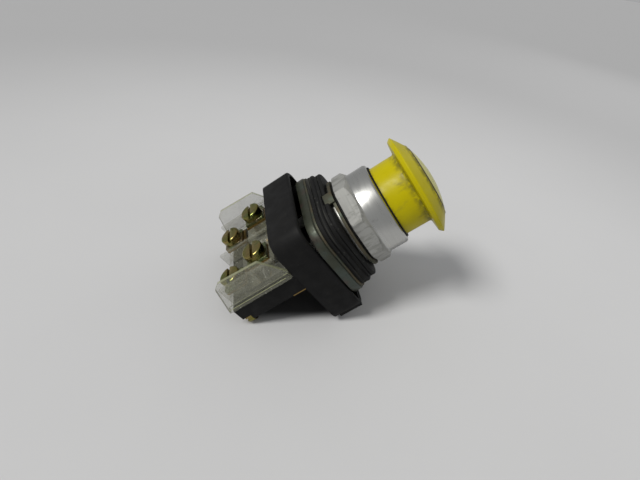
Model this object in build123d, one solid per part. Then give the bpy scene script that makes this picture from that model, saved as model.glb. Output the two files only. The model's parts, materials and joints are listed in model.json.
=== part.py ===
from build123d import *
import math
import os

# Yellow push-pull emergency stop operator with one two-circuit contact block.
# Millimetres. Origin: on the button's axis, at the front face of the panel.
# +Z points out of the panel towards the user, +X and +Y are square to the housing.

# ---- driving dimensions -------------------------------------------------
travel = 6.0                # push-pull stroke of the head
fit_gap = 0.06              # radial running clearance of shafts in bores
part_gap = 0.3              # space kept between parts that move past each other

# head
rim_r = 19.7
rim_z = 28.1                # height of the widest edge
rim_back_z = 26.0
skirt_r = 13.9
skirt_wall = 2.0
skirt_z = 5.0               # lower end of the skirt
crown_z = 32.0              # top of the conical face
insert_r = 13.2
insert_z = 30.2             # seat of the centre disc
insert_dome = 2.2
insert_gap = 0.45           # groove round the centre disc
stem_r = 3.0
stem_top = 29.5
stem_tail = -15.8

# bezel nut and panel clamp stack, from the panel forward
thread_r = 15.0             # 30 mm barrel for a 30.5 mm panel hole
washer_r, washer_t = 18.0, 1.0
gasket_t = 0.9
nut_z0 = washer_t + gasket_t
nut_z1 = 7.4
nut_flats = 34.3            # across flats of the octagon
nut_turn = -11.1            # degrees the tightened nut is turned
shroud_r = 16.45
shroud_z = 15.5
shroud_bore = 14.6
barrel_z = 9.0              # front end of the threaded barrel
tab_angle = -76.0           # degrees, where the locating tab sits

# clamp stack behind the panel; its parts are centred a little below the button's axis
stack_y = -1.5
ring_t = 1.0
front_gasket_z = -3.8
rear_gasket_z = -7.0
plate_z1, plate_z0 = -7.8, -11.0
plate_hx, plate_hy, plate_corner = 22.0, 18.3, 10.0
screw_post = (16.2, 13.2)   # plate screw place from the plate's centre, and the opposite corner

# operator housing
house_hx, house_hy = 22.25, 22.75
house_corner = 6.5
house_z1, house_z0 = -11.6, -23.1
house_wall = 1.8
house_floor = 1.8
actuator_z0, actuator_z1 = -14.7, -12.6

# contact block
block_half = 22.3
block_z1 = house_z0
block_z0 = block_z1 - 25.9
base_y0, base_y1 = -10.2, -2.2
block_wall = 1.4
plunger_x, plunger_y, plunger_r = 9.0, -6.4, 2.0
plunger_top = actuator_z0 - 0.3
block_screw = (18.6, -3.4)
back_step = 3.4             # how far the lower half of the block's back end is set in
cavity_half = 16.2
spring_seat = block_z0 + block_wall + back_step
sheet_t = 0.8               # thickness of contact strips and bridges
term_x = 12.0
row_front_z, row_rear_z = block_z1 - 8.5, block_z1 - 22.0
clamp_half = 4.0
screw_r, screw_height = 4.1, 3.0       # terminal screw heads
tier_front_y, tier_rear_y = -17.0, -12.7
wing_y = -23.8
nc_level, no_level = -31.2, -41.2      # mid-planes of the fixed contact blades
front_leg_z = row_front_z - clamp_half # mid-plane of the front strips' legs
rear_leg_z = -40.6                     # mid-plane of the rear strips' legs

parts = {}


# ---- small helpers --------------------------------------------------------
def cyl(radius, z0, z1, x=0.0, y=0.0):
    return Pos(x, y, (z0 + z1) / 2) * Cylinder(radius, abs(z1 - z0))


def cyl_y(radius, y0, y1, x, z):
    return Pos(x, (y0 + y1) / 2, z) * Rot(90, 0, 0) * Cylinder(radius, abs(y1 - y0))


def tube(outer, inner, z0, z1, x=0.0, y=0.0):
    return cyl(outer, z0, z1, x, y) - cyl(inner, z0 - 1, z1 + 1, x, y)


def block(x0, x1, y0, y1, z0, z1):
    centre = Pos((x0 + x1) / 2, (y0 + y1) / 2, (z0 + z1) / 2)
    return centre * Box(abs(x1 - x0), abs(y1 - y0), abs(z1 - z0))


def rounded_slab(half_x, half_y, corner, z0, z1):
    """Rounded rectangular slab, centred like all parts behind the panel."""
    outline = RectangleRounded(2 * half_x, 2 * half_y, corner)
    return Pos(0, stack_y, min(z0, z1)) * extrude(outline, abs(z1 - z0))


def turned(points):
    """Solid of revolution about Z from (radius, z) points."""
    outline = Polyline(*[(r, 0, z) for r, z in points], close=True)
    return revolve(make_face(outline), Axis.Z)


def coil(radius, wire, z0, z1, turns, x, y):
    """Helical spring with its ends inside z0..z1."""
    low, high = min(z0, z1) + wire, max(z0, z1) - wire
    path = Pos(x, y, low) * Helix(pitch=(high - low) / turns, height=high - low, radius=radius)
    section = Plane(path @ 0, z_dir=path % 0) * Circle(wire)
    return sweep(section, path=path)


def mirrored_x(shape):
    return mirror(shape, Plane.YZ)


# ---- head body --------------------------------------------------------------
def mushroom_head():
    body = turned([
        (skirt_r - skirt_wall, skirt_z), (skirt_r - 0.5, skirt_z), (skirt_r, skirt_z + 0.5),
        (skirt_r, rim_back_z - 0.6), (skirt_r + 0.5, rim_back_z), (rim_r - 0.9, rim_back_z + 0.5),
        (rim_r, rim_z - 0.5), (rim_r, rim_z), (insert_r + 1.0, crown_z - 0.15),
        (insert_r + 0.75, crown_z), (insert_r + insert_gap, crown_z - 0.15),
        (insert_r + insert_gap, insert_z),
        (4.6, insert_z), (4.6, stem_top), (stem_r - 0.8, stem_top), (stem_r - 0.8, stem_top - 1.5),
        (stem_r, stem_top - 1.5), (stem_r, 19.0), (6.0, 19.0), (6.5, 25.0),
        (skirt_r - skirt_wall, 25.0)])
    return body


def head_insert():
    rise = insert_dome
    base = turned([
        (0, insert_z + 0.05 + 1.3), (4.4, insert_z + 1.35), (4.4, insert_z + 0.05),
        (insert_r - 0.2, insert_z + 0.05), (insert_r, insert_z + 0.3), (insert_r, crown_z - 0.5),
        (insert_r - 0.4, crown_z - 0.15), (insert_r * 0.72, crown_z + rise * 0.45),
        (insert_r * 0.4, crown_z + rise * 0.85), (0, crown_z + rise)])
    return base


def head_screw():
    head = cyl(3.8, stem_top + 0.02, stem_top + 2.0)
    head -= block(-4, 4, -0.5, 0.5, stem_top + 1.1, stem_top + 3)
    return head + cyl(1.95, stem_top - 8.0, stem_top + 0.1)


def stem():
    shaft = cyl(stem_r - 0.02, stem_tail, stem_top - 1.52)
    shaft += cyl(2.15, stem_top - 1.6, stem_top - 0.02)
    shaft -= cyl(2.0, stem_top - 9.0, stem_top + 1)
    for level in (-5.0, -5.0 + travel):
        shaft -= tube(stem_r + 1, stem_r - 0.45, level - 0.5, level + 0.5)
    shaft -= tube(stem_r + 1, stem_r - 0.7, actuator_z0 - 0.8, actuator_z0 - 0.05)
    return shaft


def actuator_plate():
    bar = block(-13.5, 13.5, -9.2, 4.2, actuator_z0, actuator_z1)
    bar = fillet(bar.edges().filter_by(Axis.Z), 2.5)
    hub = cyl(6.0, actuator_z0, actuator_z1 + 0.1)
    return (bar + hub) - cyl(stem_r, -20, 0)


def stem_clip():
    ring = tube(5.2, stem_r - 0.65, actuator_z0 - 0.8, actuator_z0 - 0.1)
    return ring - block(0, 8, -2.1, 2.1, actuator_z0 - 2, actuator_z0)


# ---- panel clamp stack --------------------------------------------------------
def bezel_nut():
    octagon = RegularPolygon(nut_flats / 2, 8, major_radius=False)
    prism = Pos(0, 0, nut_z0) * extrude(octagon, nut_z1 - nut_z0)
    prism = Rot(0, 0, nut_turn + 22.5) * prism
    corner_r = nut_flats / 2 / math.cos(math.pi / 8)
    rounding = turned([
        (0, nut_z0), (corner_r - 0.5, nut_z0), (corner_r + 0.2, nut_z0 + 0.5),
        (corner_r + 0.2, nut_z1 - 1.6), (shroud_r + 0.5, nut_z1), (0, nut_z1)])
    outer = prism & rounding
    outer += turned([
        (0, nut_z0), (14, nut_z0), (shroud_r - 0.3, nut_z1 - 1), (shroud_r + 0.35, nut_z1),
        (shroud_r, nut_z1 + 0.5), (shroud_r, shroud_z - 1.0), (shroud_r - 0.35, shroud_z - 0.3),
        (shroud_r - 0.9, shroud_z), (0, shroud_z)])
    outer -= cyl(thread_r + 0.05, nut_z0 - 1, barrel_z + 0.4)
    outer -= cyl(shroud_bore, barrel_z, shroud_z + 1)
    outer -= cyl(15.45, 12.3, 13.9)
    return outer - cyl(shroud_bore + 0.5, shroud_z - 0.5, shroud_z + 1)


def nut_gasket():
    return tube(16.5, thread_r + 0.1, washer_t, nut_z0)


def locating_washer():
    ring = tube(washer_r, thread_r + 0.15, 0, washer_t)
    tab = block(washer_r - 0.1, washer_r + 0.6, -2.5, 2.5, -2.5, washer_t)
    return ring + Rot(0, 0, tab_angle) * tab


def thrust_ring():
    return tube(16.3, thread_r + 0.15, -ring_t, 0)


def skirt_wiper():
    return turned([
        (skirt_r + fit_gap, 12.7), (skirt_r + 0.5, 12.35), (15.4, 12.35), (15.4, 13.85),
        (14.55, 13.85), (14.5, 14.5), (skirt_r + fit_gap, 14.2)])


def threaded_bushing():
    shell = tube(thread_r - 0.35, skirt_r + part_gap, -7.0, barrel_z)
    count = 10
    pitch = 1.5
    first = barrel_z - 0.9
    for i in range(count):
        z = first - i * pitch
        shell += turned([(14.4, z - 0.7), (thread_r - 0.35, z - 0.55), (thread_r, z - 0.15),
                         (thread_r, z + 0.15), (thread_r - 0.35, z + 0.55), (14.4, z + 0.7)])
    shell += cyl(thread_r - 0.35, plate_z0, -7.0)
    shell += cyl(16.7, plate_z0 - 1.3, plate_z0)
    return shell - cyl(5.0, -20, 0)


def stem_bearing():
    sleeve = tube(4.98, stem_r + fit_gap, plate_z0 - 1.3, -3.4)
    slot = block(-4.0, 8.0, stem_r + 0.1, 5.6, -5.55, -4.45)
    return sleeve - slot - mirror(slot, Plane.XZ)


def detent_spring():
    """Hairpin whose two arms snap into the stem's grooves."""
    arm_y = stem_r + 0.62
    wire = 0.45
    arm = Pos(1.6, arm_y, -5.0) * Rot(0, 90, 0) * Cylinder(wire, 9.6)
    bend = Pos(6.4, 0, -5.0) * (Torus(arm_y, wire) & block(0, 9, -9, 9, -2, 2))
    return arm + mirror(arm, Plane.XZ) + bend


def gasket(half_x, half_y, z1, z0, groove):
    slab = rounded_slab(half_x, half_y, 9.0, z0, z1)
    slab = fillet(slab.edges().filter_by_position(Axis.Z, z1 - 0.01, z1 + 0.01), 0.7)
    middle = (z0 + z1) / 2
    cut = rounded_slab(half_x + 2, half_y + 2, 10.0, middle - 0.18, middle + 0.18)
    cut -= rounded_slab(half_x - groove, half_y - groove, 8.4, middle - 1, middle + 1)
    return slab - cut - cyl(thread_r + 0.1, z0 - 1, z1 + 1)


def front_gasket():
    """The front one is notched where the washer's tab is bent back."""
    notch = Rot(0, 0, tab_angle) * block(washer_r - 0.4, 25.0, -2.8, 2.8, -3.0, 0)
    return gasket(19.4, 17.1, -ring_t, front_gasket_z, 0.6) - notch


def rear_gasket():
    return gasket(20.4, 17.6, front_gasket_z, rear_gasket_z, 0.5)


def backing_plate():
    slab = rounded_slab(21.2, 17.9, 9.4, plate_z1, rear_gasket_z)
    return slab - cyl(thread_r + 0.1, plate_z1 - 1, 0)


def post_places():
    """The two opposite corners where the plate is screwed to the housing."""
    for side in (1, -1):
        yield side * screw_post[0], stack_y + side * screw_post[1]


def flange_plate():
    slab = rounded_slab(plate_hx, plate_hy, plate_corner, plate_z0, plate_z1)
    slab = chamfer(slab.edges().filter_by_position(Axis.Z, plate_z1 - 0.01, plate_z1 + 0.01), 0.35)
    slab -= cyl(thread_r + 0.02, -12, 0)
    for x, y in post_places():
        slab -= cyl(1.7, -12, 0, x, y)
        slab -= cyl(3.1, plate_z1 - 1.4, 0, x, y)
    return slab


def plate_screws():
    group = []
    for x, y in post_places():
        screw = cyl(2.9, plate_z1 - 1.35, plate_z1 - 0.1, x, y)
        screw += cyl(1.5, plate_z0 - 7.0, plate_z1 - 1, x, y)
        screw -= block(x - 3, x + 3, y - 0.35, y + 0.35, plate_z1 - 0.7, 0)
        group.append(screw)
    return Compound(children=group)


# ---- operator housing ------------------------------------------------------------
def operator_housing():
    shell = rounded_slab(house_hx, house_hy, house_corner, house_z0, house_z1)
    shell = fillet(shell.edges().filter_by_position(Axis.Z, house_z1 - 0.01, house_z1 + 0.01), 0.8)
    inner_x, inner_y = house_hx - house_wall, house_hy - house_wall
    floor = house_z0 + house_floor
    hollow = rounded_slab(inner_x, inner_y, house_corner - house_wall, floor, house_z1 + 1)
    top_y = stack_y + inner_y
    solid = shell - hollow
    solid += block(-inner_x - 0.5, inner_x + 0.5, top_y - 1.5, top_y + 0.5, floor, house_z1 - 0.2)
    for x, y in post_places():
        solid += cyl(3.0, floor, plate_z0, x, y)
        solid -= cyl(1.52, plate_z0 - 7.5, -5, x, y)
    for sx in (1, -1):
        solid += block(sx * 17.6, sx * (inner_x + 0.5), -6, 6, floor, plate_z0)
        solid -= cyl(plunger_r + fit_gap, -30, -10, sx * plunger_x, plunger_y)
        solid -= cyl(1.2, house_z0 - 1, house_z0 + 5.5, sx * block_screw[0], block_screw[1])
    return solid - cyl(6.0, house_z0 - 1, floor + 1)


# ---- contact block -----------------------------------------------------------------
def contact_base():
    body = block(-block_half, block_half, base_y0, base_y1, block_z0, block_z1)
    body = fillet(body.edges().filter_by(Axis.Z), 0.6)
    body -= block(-cavity_half, cavity_half, base_y0 - 1, base_y1 - block_wall,
                  spring_seat, block_z1 - block_wall)
    for sx in (1, -1):
        body -= cyl(plunger_r + fit_gap, block_z1 - 3, block_z1 + 1, sx * plunger_x, plunger_y)
        body -= cyl(1.25, block_z0 - 1, block_z1 + 1, sx * block_screw[0], block_screw[1])
    # steps at the back end
    step_z = block_z0 + back_step
    body -= block(-30, 30, -4.6, 0, block_z0 - 1, step_z)
    for sx in (1, -1):
        body -= cyl(3.9, block_z0 - 1, step_z, sx * block_screw[0], block_screw[1])
    body -= block(-block_half - 1, block_half + 1, base_y1 - 0.55, 0, block_z1 - 5.3, block_z1 + 1)
    return body


def mounting_clip():
    """Brass spring strip in the shallow step under the block's front edge."""
    strip = block(-block_half + 0.05, block_half - 0.05, base_y1 - 0.5, base_y1 - 0.05,
                  block_z1 - 5.2, block_z1 - 0.02)
    for sx in (1, -1):
        strip -= cyl(1.4, block_z1 - 6, block_z1 + 1, sx * block_screw[0], block_screw[1])
    return strip


def side_wing():
    """Flared clear wing on the +X side, with its thick lower rail and end return."""
    x0, x1 = block_half - 1.2, block_half
    root = base_y0
    outline = Polyline((x0, root, block_z1 - 0.6), (x0, root - 3.0, block_z1 - 0.3),
                       (x0, wing_y + 0.8, block_z1 - 6.0), (x0, wing_y, block_z1 - 21.5),
                       (x0, wing_y + 1.8, block_z1 - 24.0), (x0, root - 0.9, block_z1 - 27.1),
                       (x0, root, block_z1 - 26.8), close=True)
    plate = extrude(make_face(outline), x1 - x0, dir=(1, 0, 0))
    rail = block(x0 - 0.6, x1 + 0.5, root - 1.3, root, block_z1 - 26.8, block_z1 - 0.9)
    lip = block(x0 - 0.5, x1 + 0.4, root - 2.8, root, block_z1 - 2.3, block_z1 - 0.6)
    return plate + rail + lip


def clear_cover():
    cover = block(-block_half, block_half, base_y0 - 1.2, base_y0, block_z0, block_z1 - 0.3)
    wing = side_wing()
    cover += wing + mirrored_x(wing)
    bed = base_y0 - 0.7
    cover += block(-18.5, 18.5, tier_front_y, bed, block_z1 - 13.2, block_z1 - 2.6)
    cover += block(-18.5, 18.5, tier_rear_y, bed, block_z0 + 0.2, block_z1 - 17.4)
    for x in (0, -18.7, 18.7):
        cover += block(x - 0.6, x + 0.6, -18.8, bed, block_z1 - 25.4, block_z1 - 2.6)
    for sx in (1, -1):
        for z, top in ((row_front_z, tier_front_y), (row_rear_z, tier_rear_y)):
            cover -= cyl_y(1.85, top - 2, base_y0 + 1, sx * term_x, z)
        # slots for the strips' legs
        cover -= block(sx * 12.7, sx * 16.3, -18.0, base_y0 + 1, front_leg_z - 0.55, front_leg_z + 0.55)
        cover -= block(sx * 7.7, sx * 12.3, -14.0, base_y0 + 1, rear_leg_z - 0.55, rear_leg_z + 0.55)
    return cover


foot_y0, foot_y1 = base_y0 + 0.1, base_y0 + 0.9     # where the strips run under the cover


def front_strip(side, level):
    """Fixed contact strip under a front-row screw; its blade stands at the given level."""
    half = sheet_t / 2
    top = tier_front_y
    pad = block(side * 7.8, side * 16.2, top - sheet_t, top, front_leg_z - half, row_front_z + clamp_half)
    leg = block(side * 13.0, side * 16.0, top - sheet_t, foot_y1, front_leg_z - half, front_leg_z + half)
    low, high = min(level, front_leg_z) - half, max(level, front_leg_z) + half
    run = block(side * 13.0, side * 16.0, foot_y0, foot_y1, low, high)
    blade = block(side * 13.0, side * 16.0, foot_y0, -5.0, level - half, level + half)
    strip = pad + leg + run + blade
    return strip - cyl_y(1.75, top - 3, top + 3, side * term_x, row_front_z)


def rear_strip(side, level):
    """Fixed contact strip under a rear-row screw, reaching the inner contact."""
    half = sheet_t / 2
    top = tier_rear_y
    pad = block(side * 7.8, side * 16.2, top - sheet_t, top, row_rear_z - clamp_half, rear_leg_z + half)
    leg = block(side * 8.0, side * 12.0, top - sheet_t, foot_y1, rear_leg_z - half, rear_leg_z + half)
    low, high = min(level, rear_leg_z) - half, max(level, rear_leg_z) + half
    run = block(side * 2.0, side * 12.0, foot_y0, foot_y1, rear_leg_z - 1.6, rear_leg_z + half)
    rise = block(side * 2.0, side * 5.0, foot_y0, foot_y1, low, high)
    blade = block(side * 2.0, side * 5.0, foot_y0, -5.0, level - half, level + half)
    strip = pad + leg + run + rise + blade
    return strip - cyl_y(1.75, top - 3, top + 3, side * term_x, row_rear_z)


def fixed_tips(side, level, facing):
    """Silver tips on both blades of one circuit, on the side that faces the bridge."""
    z0 = level + facing * sheet_t / 2
    z1 = z0 + facing * 0.5
    return [cyl(1.35, z0, z1, side * x, -6.4) for x in (3.5, 14.5)]


def nc_fixed_tips():
    return Compound(children=fixed_tips(-1, nc_level, -1))


def no_fixed_tips():
    return Compound(children=fixed_tips(1, no_level, 1))


def terminal_places():
    for z, top in ((row_front_z, tier_front_y), (row_rear_z, tier_rear_y)):
        for sx in (-1, 1):
            yield sx * term_x, top - sheet_t, z


def terminal_screws():
    group = []
    for x, y, z in terminal_places():
        seat = y - 1.4
        face = seat - screw_height
        head = cyl_y(screw_r, face, seat, x, z)
        head = fillet(head.edges().filter_by_position(Axis.Y, face - 0.01, face + 0.01), 0.7)
        head -= block(x - 5, x + 5, face - 1, face + 1.3, z - 0.6, z + 0.6)
        shank_end = base_y0 - 0.3
        group.append(head + cyl_y(1.7, seat - 0.5, shank_end, x, z))
    return Compound(children=group)


def saddle_clamps():
    group = []
    for x, y, z in terminal_places():
        clamp = block(x - clamp_half, x + clamp_half, y - 1.35, y - 0.35, z - clamp_half, z + clamp_half)
        clamp += block(x - clamp_half, x - 3.3, y - 1.35, y - 0.02, z - clamp_half, z + clamp_half)
        clamp += block(x + 3.3, x + clamp_half, y - 1.35, y - 0.02, z - clamp_half, z + clamp_half)
        group.append(clamp - cyl_y(1.85, y - 3, y + 1, x, z))
    return Compound(children=group)


def block_screws():
    group = []
    for sx in (1, -1):
        x, y = sx * block_screw[0], block_screw[1]
        seat = block_z0 + back_step
        head = cyl(3.8, seat - 2.6, seat, x, y)
        head -= block(x - 4, x + 4, y - 0.5, y + 0.5, seat - 3, seat - 1.4)
        group.append(head + cyl(1.15, seat - 0.5, house_z0 + 5.0, x, y))
    return Compound(children=group)


# ---- moving contact carriers ---------------------------------------------------------
def bridge_level(side):
    """Underside of the bridge's bar at rest."""
    if side < 0:
        return nc_level - sheet_t / 2 - 1.1 - sheet_t
    return no_level + sheet_t / 2 + 0.5 + travel + part_gap + 0.5


def plunger(side):
    x = side * plunger_x
    bar = bridge_level(side)
    foot = bar - 2.6
    rod = cyl(plunger_r, foot, plunger_top, x, plunger_y)
    rod += cyl(2.6, bar + sheet_t + 0.02, bar + sheet_t + 0.8, x, plunger_y)
    rod += cyl(2.6, foot, foot + 0.6, x, plunger_y)
    return rod


def bridge(side):
    x = side * plunger_x
    z = bridge_level(side)
    bar = block(x - 6.6, x + 6.6, -8.3, -4.5, z, z + sheet_t)
    bar = fillet(bar.edges().filter_by(Axis.Z), 1.2)
    bar += cyl(2.6, z, z + sheet_t, x, plunger_y)
    bar -= cyl(plunger_r + 0.05, z - 1, z + 2, x, plunger_y)
    tip0, tip1 = (z + sheet_t, z + sheet_t + 0.5) if side < 0 else (z - 0.5, z)
    for offset in (-5.5, 5.5):
        bar += cyl(1.35, tip0, tip1, x + offset, plunger_y)
    return bar


def contact_spring(side):
    bar = bridge_level(side)
    return coil(2.28, 0.22, bar - 0.05, bar - 1.95, 2.5, side * plunger_x, plunger_y)


def return_spring(side):
    foot = bridge_level(side) - 2.6
    return coil(2.2, 0.2, foot - 0.05, spring_seat + 0.05, 3.5,
                side * plunger_x, plunger_y)


# ---- all nodes -----------------------------------------------------------------------------
def build_nodes():
    for make in (mushroom_head, head_insert, head_screw, stem, actuator_plate, stem_clip,
                 bezel_nut, nut_gasket, locating_washer, thrust_ring, skirt_wiper,
                 threaded_bushing, stem_bearing, detent_spring, front_gasket, rear_gasket,
                 backing_plate, flange_plate, plate_screws, operator_housing, contact_base,
                 mounting_clip, clear_cover, nc_fixed_tips, no_fixed_tips, terminal_screws,
                 saddle_clamps, block_screws):
        parts[make.__name__] = make()
    for name, side, level in (("nc", -1, nc_level), ("no", 1, no_level)):
        parts[name + "_front_strip"] = front_strip(side, level)
        parts[name + "_rear_strip"] = rear_strip(side, level)
        parts[name + "_plunger"] = plunger(side)
        parts[name + "_bridge"] = bridge(side)
        parts[name + "_contact_spring"] = contact_spring(side)
        parts[name + "_return_spring"] = return_spring(side)


build_nodes()
os.makedirs("parts", exist_ok=True)
for name, shape in parts.items():
    export_step(shape, f"parts/{name}.step")
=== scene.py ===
import json
import math

import bmesh
import bpy
from mathutils import Matrix, Vector


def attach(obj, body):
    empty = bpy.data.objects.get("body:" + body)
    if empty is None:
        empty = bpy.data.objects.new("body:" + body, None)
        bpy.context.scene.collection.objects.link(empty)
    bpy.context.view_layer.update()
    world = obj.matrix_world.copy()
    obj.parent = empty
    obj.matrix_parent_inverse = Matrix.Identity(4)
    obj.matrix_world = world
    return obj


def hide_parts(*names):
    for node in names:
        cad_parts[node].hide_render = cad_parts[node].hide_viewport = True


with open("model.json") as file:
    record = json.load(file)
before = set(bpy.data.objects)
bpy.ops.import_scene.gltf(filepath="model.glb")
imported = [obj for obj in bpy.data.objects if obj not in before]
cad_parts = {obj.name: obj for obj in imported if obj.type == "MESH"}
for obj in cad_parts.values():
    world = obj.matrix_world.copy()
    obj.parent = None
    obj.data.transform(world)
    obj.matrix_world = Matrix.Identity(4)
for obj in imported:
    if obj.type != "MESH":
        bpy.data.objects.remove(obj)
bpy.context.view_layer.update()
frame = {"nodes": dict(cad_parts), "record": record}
MM = 0.001

# ---- camera and floor, in the row frame, millimetres ------------------------
camera_place = Vector((127.6, -97.4, 22.4))
camera_target = Vector((0.3, -1.1, -13.9))
camera_roll = 10.1                    # degrees
camera_lens = 23.7                    # on a 36 mm sensor
# The button lies on its housing's rear edge and on the heads of the block screws.
rest_edge = Vector((0, 21.25, -23.1))
rest_heads = Vector((0, -0.7, -49.0))
rest_line = (rest_heads - rest_edge).normalized()
floor_up = Vector((0, rest_line.z, -rest_line.y))
floor_half = 3000.0
light_target = Vector((0, 0, -5))
key_strength, key_spread = 2.35, 18   # sun, W/m2 and degrees
fill_power, fill_size = 0.3, 0.5      # W and metres
sky_strength = 0.42

# ---- head and shroud, millimetres; heights are along the button's axis ------
skirt_r, skirt_inner, skirt_z = 13.9, 11.9, 5.0
skirt_end_z = 25.3                    # where the skirt runs into the rim's back
rim_r, rim_z, rim_back_z = 19.7, 28.1, 26.25
web_z = 25.0                          # underside of the head inside the skirt
groove_r, groove_z = 13.65, 30.2      # outer wall and floor of the recess for the disc
boss_r, boss_z = 4.6, 29.5            # recess for the centre screw
disc_r, disc_shoulder_z = 13.15, 31.65
dome_z, dome_drop, dome_r = 34.18, 2.3, 13.2
finish_z = 7.6                        # the nut's scuffed finish gives way to the shroud's here
mouth_z = 15.5                        # upper end of the shroud
wing_x = 20.6                         # the cover's wings lie beyond this on both sides

# ---- mesh settings ------------------------------------------------------------
bevel_angle = math.radians(28)        # CAD edges sharper than this are eased
smooth_angle = math.radians(32)       # edges flatter than this are shaded smooth
flat_angle = math.radians(0.8)        # CAD triangles flatter than this are joined
merge_distance = 2e-6
lathe_segments = 180


# ---- shader helpers -----------------------------------------------------------
class Shader:
    """A Principled material whose colour, roughness and bump are built up step by step."""

    def __init__(self, name, colour, rough=0.5, metal=0.0, specular=0.5):
        self.mat = bpy.data.materials.new(name)
        self.mat.use_nodes = True
        self.nodes = self.mat.node_tree.nodes
        self.links = self.mat.node_tree.links
        self.bsdf = self.nodes["Principled BSDF"]
        self.bsdf.inputs["Metallic"].default_value = metal
        self.bsdf.inputs["Specular IOR Level"].default_value = specular
        self.bsdf.inputs["Roughness"].default_value = rough
        self.bsdf.inputs["Base Color"].default_value = (*colour, 1)
        self.colour = None
        self.base = colour
        self.normal = None
        self.coords = self.nodes.new("ShaderNodeTexCoord").outputs["Object"]

    def stretched(self, scale):
        node = self.nodes.new("ShaderNodeMapping")
        node.inputs["Scale"].default_value = scale
        self.links.new(self.coords, node.inputs["Vector"])
        return node.outputs["Vector"]

    def noise(self, scale, detail=4.0, stretch=(1, 1, 1), distortion=0.0):
        """Soft noise; scale is in features per metre."""
        node = self.nodes.new("ShaderNodeTexNoise")
        node.inputs["Scale"].default_value = scale
        node.inputs["Detail"].default_value = detail
        node.inputs["Roughness"].default_value = 0.55
        node.inputs["Distortion"].default_value = distortion
        self.links.new(self.stretched(stretch), node.inputs["Vector"])
        return node.outputs["Fac"]

    def cells(self, scale):
        """Distance to the nearest of many scattered points."""
        node = self.nodes.new("ShaderNodeTexVoronoi")
        node.inputs["Scale"].default_value = scale
        self.links.new(self.stretched((1, 1, 1)), node.inputs["Vector"])
        return node.outputs["Distance"]

    def band(self, source, low, high, start=0.0, end=1.0):
        """Eases from start to end while the source goes from low to high."""
        node = self.nodes.new("ShaderNodeMapRange")
        node.interpolation_type = "SMOOTHSTEP"
        node.inputs["From Min"].default_value = low
        node.inputs["From Max"].default_value = high
        node.inputs["To Min"].default_value = start
        node.inputs["To Max"].default_value = end
        self.links.new(source, node.inputs["Value"])
        return node.outputs["Result"]

    def maths(self, kind, a, b):
        node = self.nodes.new("ShaderNodeMath")
        node.operation = kind
        for socket, value in zip(node.inputs, (a, b)):
            if isinstance(value, (int, float)):
                socket.default_value = value
            else:
                self.links.new(value, socket)
        return node.outputs["Value"]

    def times(self, first, *others):
        for other in others:
            first = self.maths("MULTIPLY", first, other)
        return first

    def plus(self, first, *others):
        for other in others:
            first = self.maths("ADD", first, other)
        return first

    def axis(self, letter):
        node = self.nodes.new("ShaderNodeSeparateXYZ")
        self.links.new(self.coords, node.inputs["Vector"])
        return node.outputs[letter]

    def along(self, letter, low, high):
        """Eases from 0 to 1 between two places on an axis, in millimetres."""
        return self.band(self.axis(letter), low * MM, high * MM)

    def between(self, letter, low, high, soft):
        """One between two places on an axis, fading out over the soft distance, in millimetres."""
        return self.times(self.along(letter, low - soft, low), self.along(letter, high + soft, high))

    def around(self, low, high):
        """Eases from 0 to 1 between two distances from the button's axis, in millimetres."""
        x, y = self.axis("X"), self.axis("Y")
        radius = self.maths("SQRT", self.plus(self.times(x, x), self.times(y, y)), 0.0)
        return self.band(radius, low * MM, high * MM)

    def tint(self, mask, colour):
        """Mixes a colour in where the mask is high."""
        node = self.nodes.new("ShaderNodeMix")
        node.data_type = "RGBA"
        if self.colour is None:
            node.inputs["A"].default_value = (*self.base, 1)
        else:
            self.links.new(self.colour, node.inputs["A"])
        node.inputs["B"].default_value = (*colour, 1)
        self.links.new(mask, node.inputs["Factor"])
        self.colour = node.outputs["Result"]
        self.links.new(self.colour, self.bsdf.inputs["Base Color"])

    def fleck(self, source, low, high, amount, colour):
        """Mixes some of a colour in where the source is above low."""
        self.tint(self.times(self.band(source, low, high), amount), colour)

    def gloss(self, source, low, high):
        """Varies the roughness between low and high."""
        self.links.new(self.band(source, 0.25, 0.75, low, high), self.bsdf.inputs["Roughness"])

    def bump(self, source, depth, strength):
        """Adds relief; depth is in millimetres."""
        node = self.nodes.new("ShaderNodeBump")
        node.inputs["Distance"].default_value = depth * MM
        node.inputs["Strength"].default_value = strength
        self.links.new(source, node.inputs["Height"])
        if self.normal is not None:
            self.links.new(self.normal, node.inputs["Normal"])
        self.normal = node.outputs["Normal"]
        self.links.new(self.normal, self.bsdf.inputs["Normal"])


def shade(colour, factor):
    return tuple(channel * factor for channel in colour)


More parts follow.
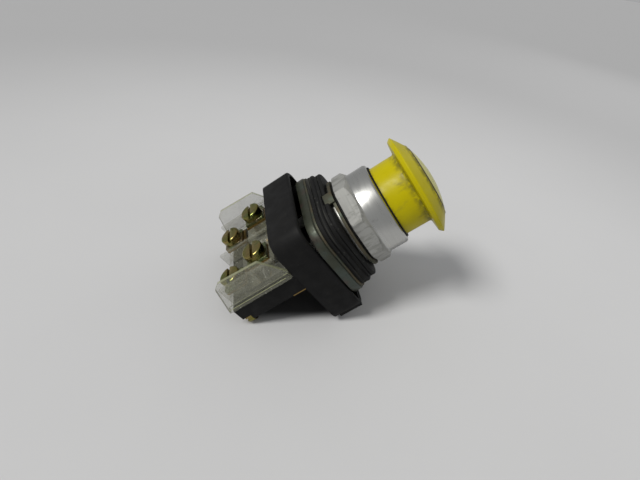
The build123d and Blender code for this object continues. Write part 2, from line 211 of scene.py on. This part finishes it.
# ---- materials ------------------------------------------------------------------
def yellow_plastic():
    """Yellow moulding with painted shade and grime where the skirt meets the rim and the shroud, and
    painted shade in the groove.
    """
    s = Shader("yellow_moulded_plastic", (0.47, 0.40, 0.001), 0.36, specular=0.13)
    s.fleck(s.noise(140), 0.35, 0.75, 0.35, (0.55, 0.48, 0.002))
    s.fleck(s.noise(900, 6), 0.55, 0.8, 0.25, (0.36, 0.29, 0.002))
    # Painted shade and grime on the skirt just above the shroud's mouth, broken up by noise.
    gap_shade_and_grime = s.times(s.along("Z", mouth_z + 1.7, mouth_z + 0.3), s.around(skirt_r - 0.2, skirt_r - 0.05))
    s.tint(s.times(gap_shade_and_grime, s.band(s.noise(800, 8), 0.4, 0.7), 0.6), (0.12, 0.10, 0.01))
    # Painted shade and grime where the skirt runs into the back of the rim, broken up by noise.
    crease_shade_and_grime = s.times(s.along("Z", skirt_end_z - 2.1, skirt_end_z + 0.6),
                     s.around(skirt_r + 2.3, skirt_r + 0.4))
    s.tint(s.times(crease_shade_and_grime, s.band(s.noise(500), 0.3, 0.6), 0.75), (0.10, 0.09, 0.02))
    smudge = s.times(s.band(s.noise(260, 8, (1, 1, 0.4)), 0.56, 0.72), s.along("Z", 27.5, 23.5))
    s.tint(s.times(smudge, 0.5), (0.16, 0.14, 0.03))
    # Painted shade: near-black on the walls of the recess that holds the disc.
    groove = s.times(s.along("Z", groove_z - 0.7, groove_z - 0.2),
                     s.around(groove_r + 0.6, groove_r + 0.35))
    s.tint(groove, (0.02, 0.018, 0.008))
    s.gloss(s.noise(350, 6), 0.27, 0.44)
    s.bump(s.noise(1600, 3), 0.02, 0.35)
    s.bump(s.noise(700, 8, (0.15, 1, 1)), 0.015, 0.25)
    return s.mat


def insert_plastic():
    """Paler disc with painted shade round its edge, where it sits in the head's recess."""
    s = Shader("centre_disc_plastic", (0.60, 0.56, 0.09), 0.3)
    s.fleck(s.noise(160, 6), 0.4, 0.7, 0.4, (0.62, 0.60, 0.16))
    # Painted shade: near-black round the disc's edge.
    s.tint(s.around(12.62, 12.8), (0.02, 0.018, 0.008))
    s.gloss(s.noise(300, 6), 0.22, 0.36)
    s.bump(s.noise(1500, 3), 0.02, 0.3)
    return s.mat


def turned_aluminium():
    """Matt and scuffed on the nut's flats, smoother on the turned shroud."""
    s = Shader("turned_aluminium", (0.52, 0.52, 0.50), 0.3, 1.0)
    s.fleck(s.noise(60, 3, (1, 1, 22)), 0.35, 0.7, 0.25, (0.42, 0.42, 0.40))
    s.fleck(s.noise(450, 7), 0.60, 0.75, 0.45, (0.25, 0.24, 0.22))
    flats = s.along("Z", finish_z + 0.4, finish_z - 0.4)
    scuffs = s.band(s.noise(500, 9, (1, 1, 0.3)), 0.5, 0.62)
    s.tint(s.times(flats, scuffs, 0.55), (0.24, 0.24, 0.22))
    s.tint(s.times(flats, 0.35), (0.36, 0.36, 0.34))
    rough = s.plus(s.times(s.noise(90, 6, (1, 1, 12)), 0.22), s.times(flats, 0.5), 0.19)
    s.links.new(rough, s.bsdf.inputs["Roughness"])
    s.bump(s.noise(200, 3, (1, 1, 60)), 0.005, 0.6)
    s.bump(s.noise(900, 6, (1, 0.2, 1)), 0.02, 0.25)
    return s.mat


def chromated(name, colour, warm, cool, rough):
    """Plated steel with warm and cool patches."""
    s = Shader(name, colour, metal=1.0)
    s.fleck(s.noise(170, 3, distortion=0.6), 0.45, 0.62, 0.6, warm)
    s.fleck(s.noise(210, 3, (1, 1.3, 0.8), distortion=0.4), 0.5, 0.66, 0.6, cool)
    s.fleck(s.noise(1300, 7), 0.58, 0.72, 0.5, shade(colour, 0.3))
    s.gloss(s.noise(500, 6), *rough)
    s.bump(s.noise(1100, 5), 0.02, 0.3)
    return s.mat


def olive_plate():
    s = Shader("olive_chromate_plate", (0.045, 0.05, 0.034), metal=0.6)
    s.fleck(s.noise(85, 3, distortion=0.5), 0.45, 0.65, 0.7, (0.06, 0.078, 0.068))
    s.fleck(s.noise(120, 3, (1.4, 1, 1)), 0.52, 0.68, 0.6, (0.075, 0.045, 0.038))
    s.fleck(s.noise(900, 8), 0.56, 0.7, 0.6, (0.03, 0.03, 0.025))
    s.gloss(s.noise(420, 7), 0.3, 0.6)
    s.bump(s.noise(1000, 6), 0.03, 0.4)
    return s.mat


def dusty_rubber():
    """Black rubber with pale streaks that run round it."""
    s = Shader("dusty_black_rubber", (0.007, 0.007, 0.0068), 0.7, specular=0.2)
    s.fleck(s.noise(45, 5, (1, 1, 28)), 0.54, 0.68, 0.55, (0.055, 0.055, 0.047))
    s.fleck(s.noise(700, 6), 0.6, 0.74, 0.4, (0.09, 0.09, 0.078))
    s.bump(s.noise(40, 4, (1, 1, 40)), 0.14, 0.8)
    s.bump(s.noise(900, 5), 0.05, 0.4)
    return s.mat


def black_plastic():
    s = Shader("matte_black_plastic", (0.0065, 0.0065, 0.0065), specular=0.14)
    s.fleck(s.noise(220, 6), 0.45, 0.75, 0.35, (0.012, 0.0115, 0.0105))
    s.fleck(s.noise(1500, 4), 0.63, 0.75, 0.35, (0.05, 0.048, 0.044))
    s.gloss(s.noise(260, 5), 0.5, 0.72)
    s.bump(s.noise(2300, 3), 0.03, 0.5)
    return s.mat


def plain(name, colour, rough, metal=0.0):
    s = Shader(name, colour, metal=metal)
    s.fleck(s.noise(270, 5), 0.4, 0.7, 0.5, shade(colour, 0.75))
    s.gloss(s.noise(450, 5), rough * 0.8, rough * 1.25)
    s.bump(s.noise(900, 4), 0.02, 0.3)
    return s.mat


def clear_plastic(name, colour, alpha, rough):
    """See-through plastic made a little more solid by haze and pale specks."""
    s = Shader(name, colour, specular=0.6)
    s.fleck(s.noise(260, 6), 0.45, 0.7, 0.5, shade(colour, 0.8))
    specks = s.band(s.cells(520), 0.12, 0.05)
    s.tint(specks, (0.70, 0.69, 0.60))
    haze = s.band(s.noise(180, 5), 0.45, 0.8)
    s.links.new(s.plus(s.times(haze, 0.10), s.times(specks, 0.5), alpha), s.bsdf.inputs["Alpha"])
    s.gloss(s.noise(500, 5), rough * 0.7, rough * 1.6)
    s.bump(s.noise(600, 5), 0.02, 0.3)
    return s.mat


materials = {
    "yellow_plastic": yellow_plastic(),
    "insert_plastic": insert_plastic(),
    "satin_aluminium": turned_aluminium(),
    "zinc_steel": chromated("olive_zinc", (0.10, 0.10, 0.075), (0.14, 0.11, 0.07),
                            (0.08, 0.105, 0.085), (0.55, 0.75)),
    "olive_plate": olive_plate(),
    "black_rubber": dusty_rubber(),
    "black_plastic": black_plastic(),
    "clear_plastic": clear_plastic("clear_cover_plastic", (0.36, 0.36, 0.28), 0.22, 0.12),
    "yellow_chromate": chromated("yellow_chromate", (0.22, 0.20, 0.05), (0.32, 0.22, 0.10),
                                 (0.13, 0.18, 0.05), (0.14, 0.3)),
    "contact_brass": plain("contact_brass", (0.30, 0.20, 0.07), 0.38, 1.0),
    "plain_steel": plain("bright_steel", (0.26, 0.26, 0.24), 0.42, 1.0),
    "silver_tip": plain("silver_tip", (0.7, 0.7, 0.68), 0.25, 1.0),
    "white_plastic": plain("natural_acetal", (0.55, 0.55, 0.5), 0.5),
}
clear_edge = clear_plastic("clear_cover_edges", (0.27, 0.28, 0.17), 0.7, 0.2)
saddle_finish = chromated("saddle_chromate", (0.19, 0.21, 0.10), (0.32, 0.22, 0.17),
                          (0.13, 0.20, 0.09), (0.18, 0.36))
slots = {part["node"]: part["material_slot"] for part in frame["record"]["subparts"]}
body_of = {}
for body, members in frame["record"]["behaviour"]["bodies"].items():
    for member in members:
        body_of[member] = body


# ---- mesh helpers ---------------------------------------------------------------
def add_object(name, bm, *finishes):
    for edge in bm.edges:
        if len(edge.link_faces) == 2:
            edge.smooth = edge.calc_face_angle(0) < smooth_angle
    for face in bm.faces:
        face.smooth = True
    mesh = bpy.data.meshes.new(name)
    bm.to_mesh(mesh)
    bm.free()
    piece = bpy.data.objects.new(name, mesh)
    bpy.context.scene.collection.objects.link(piece)
    for finish in finishes:
        mesh.materials.append(finish)
    return piece


def stand_for(piece, node):
    """Shows the piece in place of the CAD node, on the same body."""
    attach(piece, body_of[node])
    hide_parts(node)
    return piece


def eased(node, width, name, finishes, steps=2):
    """A copy of a CAD node with its sharp edges rounded, as moulded and turned parts have."""
    bm = bmesh.new()
    bm.from_mesh(frame["nodes"][node].data)
    bmesh.ops.remove_doubles(bm, verts=bm.verts, dist=merge_distance)
    bmesh.ops.dissolve_limit(bm, angle_limit=flat_angle, verts=bm.verts, edges=bm.edges)
    edges = [edge for edge in bm.edges
             if len(edge.link_faces) == 2 and edge.calc_face_angle(0) > bevel_angle]
    bmesh.ops.bevel(bm, geom=edges, offset=width * MM, segments=steps, profile=0.5,
                    affect="EDGES", clamp_overlap=True, miter_outer="ARC")
    bmesh.ops.remove_doubles(bm, verts=bm.verts, dist=merge_distance)
    return stand_for(add_object(name, bm, *finishes), node)


def arc(centre, radius, start, end, steps):
    """Points of an arc in (radius, height), angles in degrees."""
    points = []
    for i in range(steps + 1):
        angle = math.radians(start + (end - start) * i / steps)
        points.append((centre[0] + radius * math.cos(angle), centre[1] + radius * math.sin(angle)))
    return points


def lathe_ring(bm, r, z):
    """One vertex on the axis, or a ring of them round it."""
    if r == 0:
        return [bm.verts.new((0, 0, z * MM))]
    ring = []
    for i in range(lathe_segments):
        angle = 2 * math.pi * i / lathe_segments
        ring.append(bm.verts.new((r * MM * math.cos(angle), r * MM * math.sin(angle), z * MM)))
    return ring


def turned(name, node, profile):
    """Turns (radius, height) points about Z into a piece that stands for a CAD node."""
    bm = bmesh.new()
    rings = [lathe_ring(bm, r, z) for r, z in profile]
    pairs = list(zip(rings, rings[1:]))
    if len(rings[0]) > 1:
        pairs.append((rings[-1], rings[0]))
    for low, high in pairs:
        for i in range(lathe_segments):
            j = (i + 1) % lathe_segments
            if len(low) == 1:
                bm.faces.new((low[0], high[i], high[j]))
            elif len(high) == 1:
                bm.faces.new((low[i], high[0], low[j]))
            else:
                bm.faces.new((low[i], high[i], high[j], low[j]))
    bmesh.ops.recalc_face_normals(bm, faces=bm.faces)
    stand_for(add_object(name, bm, materials[slots[node]]), node)


# ---- pieces -------------------------------------------------------------------
def mushroom_head():
    """Skirt, the back of the rim, the conical face, then the recess for the disc."""
    lip = 0.4
    crown = (groove_r + 0.45, groove_z + 1.15)
    profile = [(skirt_inner, skirt_z), (skirt_r - lip, skirt_z)]
    profile += arc((skirt_r - lip, skirt_z + lip), lip, -90, 0, 4)
    profile += [(skirt_r, 12.0), (skirt_r, 18.0), (skirt_r, skirt_end_z - 0.4)]
    profile += arc((skirt_r + 0.8, skirt_end_z), 0.8, 180, 105, 6)
    profile += [(skirt_r + 2.6, rim_back_z), (rim_r - 1.3, rim_back_z + 0.2)]
    profile += arc((rim_r - 1.35, rim_back_z + 0.8), 0.62, -70, -25, 4)
    profile += [(rim_r - 0.1, rim_z - 0.5)]
    profile += arc((rim_r - 0.28, rim_z - 0.25), 0.27, -20, 48, 5)
    profile += [(18.4, 28.85), (16.6, 30.0), (14.7, 31.15)]
    profile += arc(crown, 0.3, 55, 150, 7)
    profile += [(groove_r + 0.03, groove_z + 1.1), (groove_r, groove_z), (boss_r, groove_z)]
    profile += [(boss_r, boss_z), (boss_r + 1.4, web_z + 1.0), (skirt_inner, web_z)]
    turned("mushroom_head_shell", "mushroom_head", profile)


def head_insert():
    """Domed disc with a rounded shoulder."""
    profile = [(0, dome_z)]
    profile += [(dome_r * t, dome_z - dome_drop * t * t) for t in (0.15, 0.3, 0.45, 0.6, 0.75, 0.88)]
    profile += arc((disc_r - 0.4, disc_shoulder_z), 0.4, 62, 0, 6)
    profile += [(disc_r, groove_z + 0.2), (boss_r + 0.1, groove_z + 0.1)]
    profile += [(boss_r, groove_z + 1.4), (0, groove_z + 1.4)]
    turned("centre_disc", "head_insert", profile)


def skirt_wiper():
    """Black ring that fills the gap between the head's skirt and the shroud's mouth."""
    inner = skirt_r + 0.06
    profile = [(inner, 12.7), (14.4, 12.35), (15.4, 12.35), (15.4, 13.85), (14.75, 13.85)]
    profile += [(14.7, mouth_z - 0.5), (14.9, mouth_z + 0.4), (14.7, mouth_z + 0.6)]
    profile += [(14.1, mouth_z + 0.6), (inner, mouth_z + 0.4)]
    turned("skirt_wiper_ring", "skirt_wiper", profile)


def clear_cover():
    """The wings' edges are more solid than their faces."""
    piece = eased("clear_cover", 0.28, "clear_cover_moulding", (materials["clear_plastic"], clear_edge))
    for face in piece.data.polygons:
        on_wing = abs(face.center.x) > wing_x * MM
        if on_wing and abs(face.normal.x) < 0.75:
            face.material_index = 1


mushroom_head()
head_insert()
skirt_wiper()
clear_cover()
for node, width in (("bezel_nut", 0.16), ("nut_gasket", 0.2), ("locating_washer", 0.12),
                    ("thrust_ring", 0.15), ("front_gasket", 0.2),
                    ("rear_gasket", 0.2), ("backing_plate", 0.12), ("flange_plate", 0.22),
                    ("operator_housing", 0.3), ("contact_base", 0.25), ("mounting_clip", 0.05),
                    ("terminal_screws", 0.16), ("block_screws", 0.25)):
    eased(node, width, node + "_finished", [materials[slots[node]]])
eased("saddle_clamps", 0.3, "saddle_clamps_finished", [saddle_finish], steps=3)

for node, piece in frame["nodes"].items():
    piece.data.materials.clear()
    piece.data.materials.append(materials[slots[node]])


# ---- floor, light and camera ------------------------------------------------------
def floor_material():
    """Pale floor with painted shade far out and a painted shadow under the button, and clear when seen
    from below.
    """
    s = Shader("pale_floor", (0.60, 0.60, 0.605), 0.7)
    s.fleck(s.noise(12, 3), 0.3, 0.7, 0.12, (0.52, 0.52, 0.525))
    # Painted shade: the floor grows darker away from the button.
    s.tint(s.times(s.around(120, 420), 0.8), (0.40, 0.40, 0.405))
    # Painted shadow: a near-black patch on the floor under the button.
    under = s.times(s.between("X", -22, 15.5, 5), s.between("Y", -30, -1, 4))
    s.tint(s.times(under, 0.93), (0.02, 0.02, 0.02))
    clear = s.nodes.new("ShaderNodeBsdfTransparent")
    side = s.nodes.new("ShaderNodeNewGeometry")
    mix = s.nodes.new("ShaderNodeMixShader")
    s.links.new(side.outputs["Backfacing"], mix.inputs["Fac"])
    s.links.new(s.bsdf.outputs["BSDF"], mix.inputs[1])
    s.links.new(clear.outputs["BSDF"], mix.inputs[2])
    s.links.new(mix.outputs["Shader"], s.nodes["Material Output"].inputs["Surface"])
    return s.mat


def floor():
    bm = bmesh.new()
    bmesh.ops.create_grid(bm, x_segments=2, y_segments=2, size=floor_half * MM)
    piece = add_object("floor", bm, floor_material())
    piece.matrix_world = (Matrix.Translation(rest_edge * MM)
                          @ floor_up.to_track_quat("Z", "Y").to_matrix().to_4x4())


def look(place, target):
    """Stands at place and looks at target, upright on the floor."""
    back = (place - target).normalized()
    right = floor_up.cross(back).normalized()
    turn = Matrix((right, back.cross(right), back)).transposed().to_4x4()
    return Matrix.Translation(place * MM) @ turn


def hang(name, data, place):
    lamp = bpy.data.objects.new(name, data)
    bpy.context.scene.collection.objects.link(lamp)
    lamp.matrix_world = look(place, light_target)


def key_light(place):
    """Broad sun, for one soft shadow and even light on the floor."""
    data = bpy.data.lights.new("key", "SUN")
    data.energy = key_strength
    data.angle = math.radians(key_spread)
    data.color = (1, 0.99, 0.965)
    hang("key", data, place)


def fill_light(place):
    data = bpy.data.lights.new("fill", "AREA")
    data.shape = "RECTANGLE"
    data.size, data.size_y = fill_size, fill_size
    data.energy = fill_power
    hang("fill", data, place)


def lights():
    world = bpy.data.worlds.new("studio")
    world.use_nodes = True
    sky = world.node_tree.nodes["Background"]
    sky.inputs["Color"].default_value = (0.86, 0.87, 0.88, 1)
    sky.inputs["Strength"].default_value = sky_strength
    bpy.context.scene.world = world
    view = (camera_target - camera_place).normalized()
    right = view.cross(floor_up).normalized()
    back = right.cross(floor_up)
    key_light(floor_up * 560 - right * 440 + back * 260)
    fill_light(floor_up * 300 + right * 420 - back * 420)


def camera():
    # Blender's default view transform washes the colours out.
    bpy.context.scene.view_settings.view_transform = "Standard"
    data = bpy.data.cameras.new("camera")
    data.lens = camera_lens
    data.sensor_width = 36.0
    data.clip_start, data.clip_end = 0.005, 10
    cam = bpy.data.objects.new("camera", data)
    bpy.context.scene.collection.objects.link(cam)
    roll = Matrix.Rotation(math.radians(camera_roll), 4, "Z")
    cam.matrix_world = look(camera_place, camera_target) @ roll
    bpy.context.scene.camera = cam


floor()
lights()
camera()
